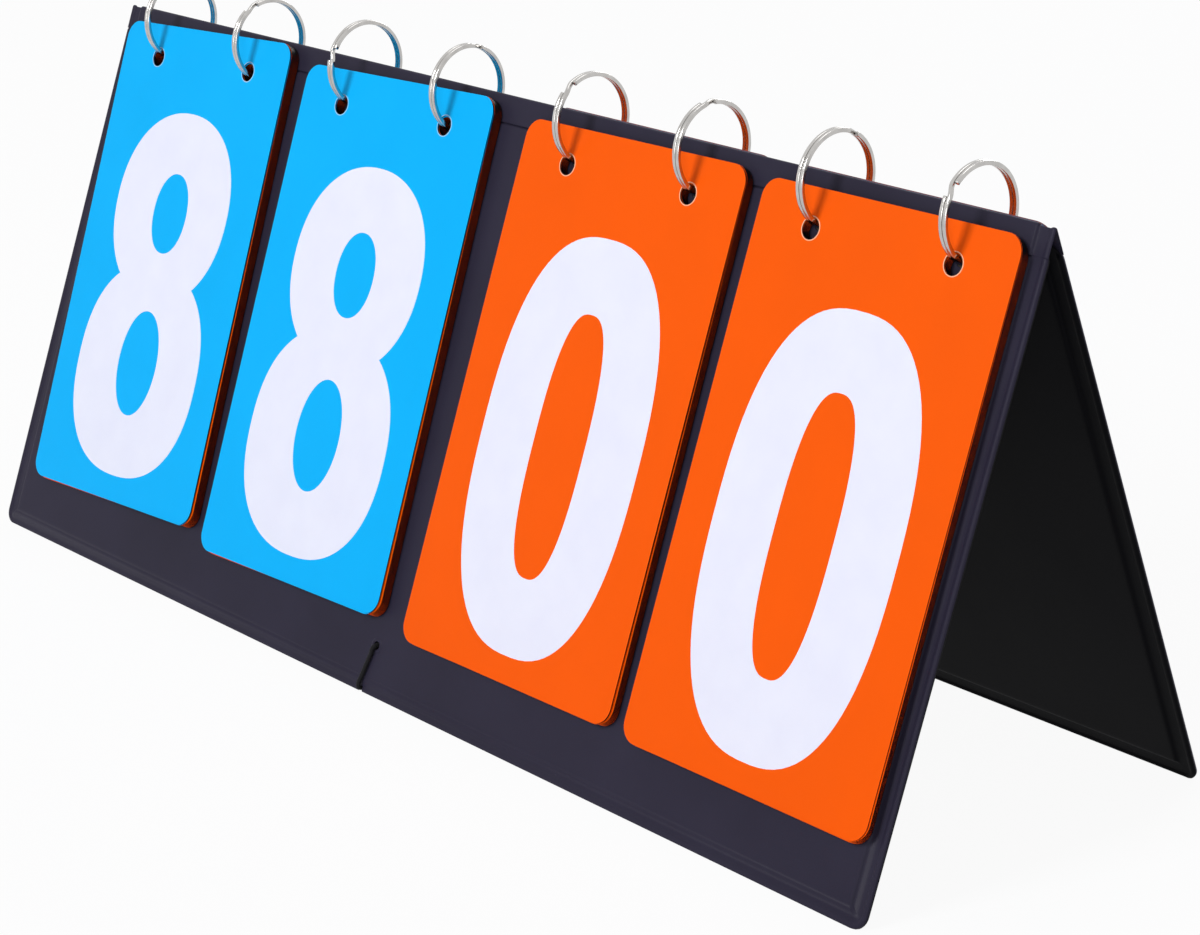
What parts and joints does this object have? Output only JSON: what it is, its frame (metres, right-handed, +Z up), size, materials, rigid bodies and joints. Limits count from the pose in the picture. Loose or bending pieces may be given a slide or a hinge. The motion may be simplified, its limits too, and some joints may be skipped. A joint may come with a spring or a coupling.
{
  "type": "tabletop flip scoreboard",
  "caption": "Tent-shaped tabletop scoreboard: two vinyl-sealed boards with a soft spine and stacks of number cards that flip over split rings.",
  "frame": {"origin": "centre of the footprint, on the surface the feet stand on", "axes": "+Z up, X along the ridge, the side with the shown numbers faces -Y"},
  "size_m": [0.38, 0.123, 0.167],
  "materials": {
    "black_vinyl": "satin vinyl sheet, welded at the edges",
    "grey_board": "grey paper board",
    "blue_card": "smooth printed plastic sheet",
    "orange_card": "smooth printed plastic sheet",
    "nickel_steel": "bright nickel plate",
    "black_cord": "fine braided cord"
  },
  "bodies": {
    "front_panel": {"front_board": "grey_board", "front_outer_skin": "black_vinyl", "front_inner_skin": "black_vinyl", "spine_hinge": "black_vinyl", "tether_cord": "black_cord", "tether_knot": "black_cord"},
    "rear_panel": {"rear_board": "grey_board", "rear_outer_skin": "black_vinyl", "rear_inner_skin": "black_vinyl"},
    "front_cards_1": {"next_card_1": "blue_card", "front_pack_1": "orange_card"},
    "turn_ring_1": {"split_ring_1": "nickel_steel"},
    "shown_card_1": {"shown_card_1": "blue_card"},
    "free_ring_1": {"split_ring_2": "nickel_steel"},
    "rear_cards_1": {"rear_face_card_1": "blue_card", "rear_pack_1": "blue_card"},
    "front_cards_2": {"next_card_2": "blue_card", "front_pack_2": "orange_card"},
    "turn_ring_2": {"split_ring_3": "nickel_steel"},
    "shown_card_2": {"shown_card_2": "blue_card"},
    "free_ring_2": {"split_ring_4": "nickel_steel"},
    "rear_cards_2": {"rear_face_card_2": "blue_card", "rear_pack_2": "blue_card"},
    "front_cards_3": {"next_card_3": "orange_card", "front_pack_3": "orange_card"},
    "turn_ring_3": {"split_ring_5": "nickel_steel"},
    "shown_card_3": {"shown_card_3": "orange_card"},
    "free_ring_3": {"split_ring_6": "nickel_steel"},
    "rear_cards_3": {"rear_face_card_3": "orange_card", "rear_pack_3": "blue_card"},
    "front_cards_4": {"next_card_4": "orange_card", "front_pack_4": "orange_card"},
    "turn_ring_4": {"split_ring_7": "nickel_steel"},
    "shown_card_4": {"shown_card_4": "orange_card"},
    "free_ring_4": {"split_ring_8": "nickel_steel"},
    "rear_cards_4": {"rear_face_card_4": "orange_card", "rear_pack_4": "blue_card"}
  },
  "joints": [
    {"name": "panel_fold", "type": "hinge", "parent": "front_panel", "child": "rear_panel", "pos_m": [0, 0, 0.15088], "axis": [-1, 0, 0], "range_deg": [0, 42], "deforming": ["spine_hinge", "tether_cord", "tether_knot"]},
    {"name": "front_cards_turn_1", "type": "hinge", "parent": "front_panel", "child": "front_cards_1", "pos_m": [0, 0, 0.15444], "axis": [1, 0, 0], "range_deg": [-108, 0]},
    {"name": "turn_ring_spin_1", "type": "hinge", "parent": "front_cards_1", "child": "turn_ring_1", "pos_m": [0, 0, 0.15444], "axis": [-1, 0, 0], "range_deg": [0, 275]},
    {"name": "shown_card_swing_1", "type": "hinge", "parent": "turn_ring_1", "child": "shown_card_1", "pos_m": [0, -0.00821, 0.14569], "axis": [-1, 0, 0], "range_deg": [0, 40.5]},
    {"name": "free_ring_spin_1", "type": "hinge", "parent": "front_panel", "child": "free_ring_1", "pos_m": [0, 0, 0.15444], "axis": [1, 0, 0], "continuous": true},
    {"name": "rear_cards_turn_1", "type": "hinge", "parent": "rear_panel", "child": "rear_cards_1", "pos_m": [0, 0, 0.15444], "axis": [-1, 0, 0], "range_deg": [-40, 0]},
    {"name": "front_cards_turn_2", "type": "hinge", "parent": "front_panel", "child": "front_cards_2", "pos_m": [0, 0, 0.15444], "axis": [1, 0, 0], "range_deg": [-120, 0]},
    {"name": "turn_ring_spin_2", "type": "hinge", "parent": "front_cards_2", "child": "turn_ring_2", "pos_m": [0, 0, 0.15444], "axis": [-1, 0, 0], "range_deg": [0, 275]},
    {"name": "shown_card_swing_2", "type": "hinge", "parent": "turn_ring_2", "child": "shown_card_2", "pos_m": [0, -0.00821, 0.14569], "axis": [-1, 0, 0], "range_deg": [0, 40.5]},
    {"name": "free_ring_spin_2", "type": "hinge", "parent": "front_panel", "child": "free_ring_2", "pos_m": [0, 0, 0.15444], "axis": [1, 0, 0], "continuous": true},
    {"name": "rear_cards_turn_2", "type": "hinge", "parent": "rear_panel", "child": "rear_cards_2", "pos_m": [0, 0, 0.15444], "axis": [-1, 0, 0], "range_deg": [-44, 0]},
    {"name": "front_cards_turn_3", "type": "hinge", "parent": "front_panel", "child": "front_cards_3", "pos_m": [0, 0, 0.15444], "axis": [1, 0, 0], "range_deg": [-125, 0]},
    {"name": "turn_ring_spin_3", "type": "hinge", "parent": "front_cards_3", "child": "turn_ring_3", "pos_m": [0, 0, 0.15444], "axis": [-1, 0, 0], "range_deg": [0, 275]},
    {"name": "shown_card_swing_3", "type": "hinge", "parent": "turn_ring_3", "child": "shown_card_3", "pos_m": [0, -0.00776, 0.14529], "axis": [-1, 0, 0], "range_deg": [0, 40.5]},
    {"name": "free_ring_spin_3", "type": "hinge", "parent": "front_panel", "child": "free_ring_3", "pos_m": [0, 0, 0.15444], "axis": [1, 0, 0], "continuous": true},
    {"name": "rear_cards_turn_3", "type": "hinge", "parent": "rear_panel", "child": "rear_cards_3", "pos_m": [0, 0, 0.15444], "axis": [-1, 0, 0], "range_deg": [-60, 0]},
    {"name": "front_cards_turn_4", "type": "hinge", "parent": "front_panel", "child": "front_cards_4", "pos_m": [0, 0, 0.15444], "axis": [1, 0, 0], "range_deg": [-125, 0]},
    {"name": "turn_ring_spin_4", "type": "hinge", "parent": "front_cards_4", "child": "turn_ring_4", "pos_m": [0, 0, 0.15444], "axis": [-1, 0, 0], "range_deg": [0, 275]},
    {"name": "shown_card_swing_4", "type": "hinge", "parent": "turn_ring_4", "child": "shown_card_4", "pos_m": [0, -0.00776, 0.14529], "axis": [-1, 0, 0], "range_deg": [0, 40.5]},
    {"name": "free_ring_spin_4", "type": "hinge", "parent": "front_panel", "child": "free_ring_4", "pos_m": [0, 0, 0.15444], "axis": [1, 0, 0], "continuous": true},
    {"name": "rear_cards_turn_4", "type": "hinge", "parent": "rear_panel", "child": "rear_cards_4", "pos_m": [0, 0, 0.15444], "axis": [-1, 0, 0], "range_deg": [-60, 0]}
  ],
  "couplings": [
    {"joint": "shown_card_swing_1", "follows": "turn_ring_spin_1", "ratio": 0.1464},
    {"joint": "shown_card_swing_2", "follows": "turn_ring_spin_2", "ratio": 0.1464},
    {"joint": "shown_card_swing_3", "follows": "turn_ring_spin_3", "ratio": 0.1464},
    {"joint": "shown_card_swing_4", "follows": "turn_ring_spin_4", "ratio": 0.1464}
  ]
}
